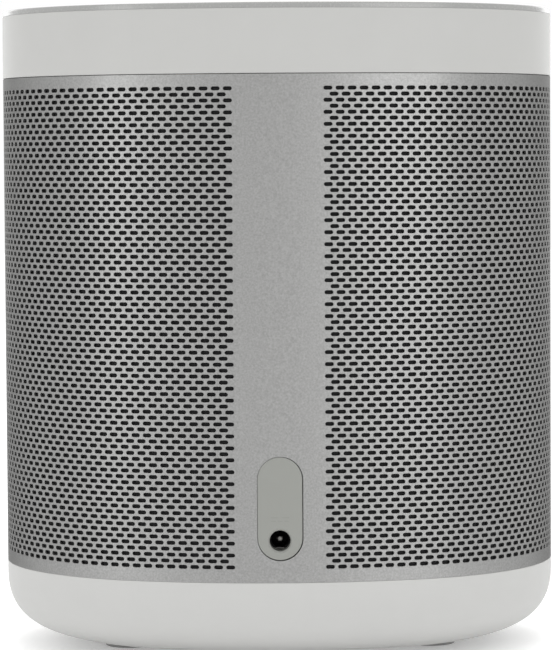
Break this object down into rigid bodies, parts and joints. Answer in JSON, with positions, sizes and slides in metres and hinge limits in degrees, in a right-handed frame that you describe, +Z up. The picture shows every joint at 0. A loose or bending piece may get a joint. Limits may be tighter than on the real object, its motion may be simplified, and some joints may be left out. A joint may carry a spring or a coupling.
{
  "type": "smart speaker",
  "caption": "Free-standing oval smart speaker: slotted metal grille between a white top band and a rounded base, touch top with light ring, rear DC inlet.",
  "frame": {"origin": "centre of the footprint, on the plane that the feet rest on", "axes": "+Z up; +X along the wide side of the oval; the driver faces -Y and the DC inlet is on the +Y side"},
  "size_m": [0.131, 0.104, 0.151],
  "materials": {
    "ring_plastic": "glossy translucent grey",
    "panel_plastic": "fine satin",
    "shell_plastic": "satin moulded white",
    "grille_metal": "sand-blasted, anodised",
    "cloth": "fine black knit",
    "plate_plastic": "fine satin grey",
    "foot_rubber": "matte grey",
    "black_plastic": "moulded",
    "contact_metal": "nickel plated",
    "circuit_board": "solder mask",
    "chip_plastic": "moulded",
    "tin_steel": "tinned",
    "heat_metal": "extruded",
    "can_metal": "drawn",
    "ferrite": "ground ferrite",
    "screw_steel": "zinc plated",
    "weight_steel": "painted steel",
    "copper": "enamelled wire",
    "cone_paper": "pressed pulp",
    "soft_rubber": "smooth",
    "spider_cloth": "resin-dipped weave",
    "foam": "open-cell foam",
    "white_plastic": "reflective white",
    "lamp_resin": "clear resin",
    "clear_film": "polyimide film",
    "wire_cover": "insulation"
  },
  "bodies": {
    "housing": {"light_ring": "ring_plastic", "touch_panel": "panel_plastic", "top_band": "shell_plastic", "grille": "grille_metal", "acoustic_cloth": "cloth", "socket_plate": "plate_plastic", "bottom_cap": "shell_plastic", "rubber_feet": "foot_rubber", "jack_body": "black_plastic", "jack_pin": "contact_metal", "jack_contact": "contact_metal", "jack_board": "circuit_board", "jack_screw": "screw_steel", "base_frame": "black_plastic", "main_board": "circuit_board", "shield_can": "tin_steel", "amplifier_chip": "chip_plastic", "heat_sink": "heat_metal", "capacitors": "can_metal", "inductors": "ferrite", "board_connectors": "white_plastic", "board_screws": "screw_steel", "base_screws": "screw_steel", "counterweight": "weight_steel", "antennas": "circuit_board", "front_enclosure": "black_plastic", "rear_enclosure": "black_plastic", "enclosure_gasket": "soft_rubber", "enclosure_screws": "screw_steel", "reflex_port": "black_plastic", "damping_foam": "foam", "isolation_pads": "soft_rubber", "driver_basket": "weight_steel", "driver_gasket": "foam", "driver_screws": "screw_steel", "pole_plate": "tin_steel", "magnet": "ferrite", "yoke": "tin_steel", "surround": "soft_rubber", "spider": "spider_cloth", "driver_terminals": "clear_film", "speaker_wires": "wire_cover", "power_wires": "wire_cover", "top_frame": "black_plastic", "light_reflector": "white_plastic", "touch_board": "circuit_board", "touch_chip": "chip_plastic", "ring_leds": "lamp_resin", "microphones": "tin_steel", "mic_gaskets": "soft_rubber", "touch_film": "clear_film", "touch_foam": "foam", "touch_board_screws": "screw_steel", "top_frame_screws": "screw_steel", "touch_cable": "clear_film"},
    "cone": {"cone": "cone_paper", "dust_cap": "cone_paper", "coil_former": "clear_film", "coil_winding": "copper"}
  },
  "joints": [
    {"name": "cone_stroke", "type": "slide", "parent": "housing", "child": "cone", "axis": [0, -1, 0], "range_m": [-0.002, 0.002], "stiffness_N_per_m": 1250, "deforming": ["surround", "spider"]}
  ]
}
